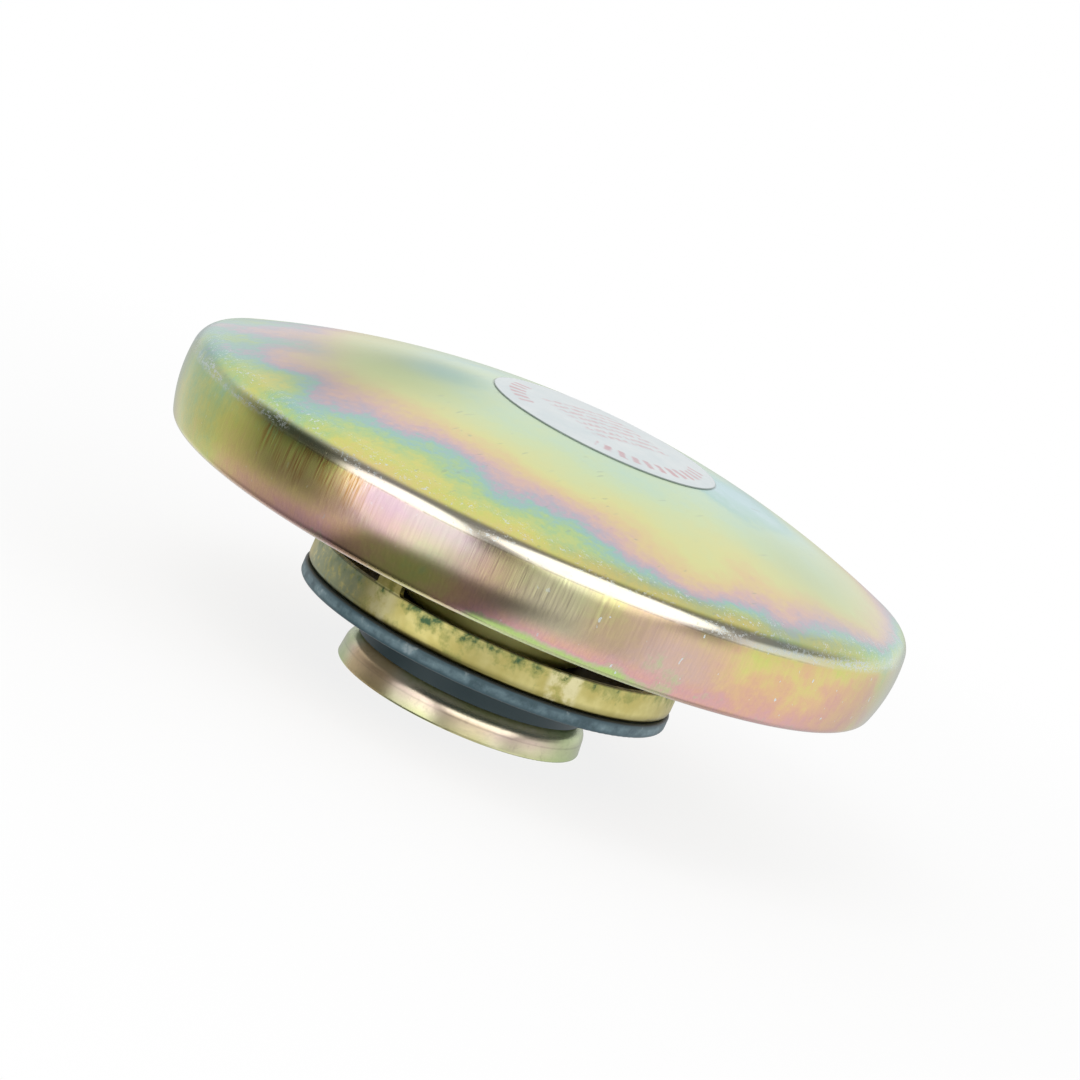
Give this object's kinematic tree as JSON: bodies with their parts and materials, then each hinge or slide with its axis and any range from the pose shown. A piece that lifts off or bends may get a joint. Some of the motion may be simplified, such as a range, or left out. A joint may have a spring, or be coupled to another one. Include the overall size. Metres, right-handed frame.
{
  "type": "vented fuel tank filler cap",
  "caption": "Round domed steel filler cap with a rolled skirt and a spring-loaded plunger below that carries a rubber seal and a vent valve.",
  "frame": {"origin": "on the cap's axis, at the lower edge of the retainer pan, on which it stands", "axes": "+Z along the cap's axis, towards the top of the dome; the label sits towards +X and -Y"},
  "size_m": [0.106, 0.106, 0.0443],
  "materials": {
    "yellow_zinc": "bright steel, yellow chromate zinc plating with pink and green interference colours",
    "plain_zinc": "clear zinc plating",
    "spring_steel": "drawn wire",
    "rubber": "moulded, satin",
    "label": "printed vinyl, satin",
    "brass": "turned, clean"
  },
  "bodies": {
    "cap": {"outer_shell": "yellow_zinc", "label_disc": "label", "locking_plate": "yellow_zinc", "spring_housing": "yellow_zinc", "housing_rivet_1": "plain_zinc", "housing_rivet_2": "plain_zinc", "housing_rivet_3": "plain_zinc", "main_spring": "spring_steel"},
    "thrust": {"spring_cup": "yellow_zinc"},
    "plunger": {"seal_cup": "yellow_zinc", "seal": "rubber", "retainer_pan": "yellow_zinc", "plunger_tube": "plain_zinc", "clamp_washer": "plain_zinc", "vent_screen": "brass", "valve_guide": "brass", "valve_spring": "spring_steel"},
    "vent_valve": {"valve_stem": "brass", "valve_plate": "brass", "valve_facing": "rubber", "valve_clip": "spring_steel"}
  },
  "joints": [
    {"name": "plunger_slide", "type": "slide", "parent": "cap", "child": "thrust", "axis": [0, 0, 1], "range_m": [0, 0.003], "stiffness_N_per_m": 3000, "springref_m": -0.0064, "deforming": ["main_spring"]},
    {"name": "seal_swivel", "type": "hinge", "parent": "thrust", "child": "plunger", "pos_m": [0, 0, 0.0117], "axis": [0, 0, 1], "continuous": true},
    {"name": "vent_slide", "type": "slide", "parent": "plunger", "child": "vent_valve", "axis": [0, 0, -1], "range_m": [0, 0.0008], "stiffness_N_per_m": 120, "springref_m": -0.001, "deforming": ["valve_spring"]}
  ]
}
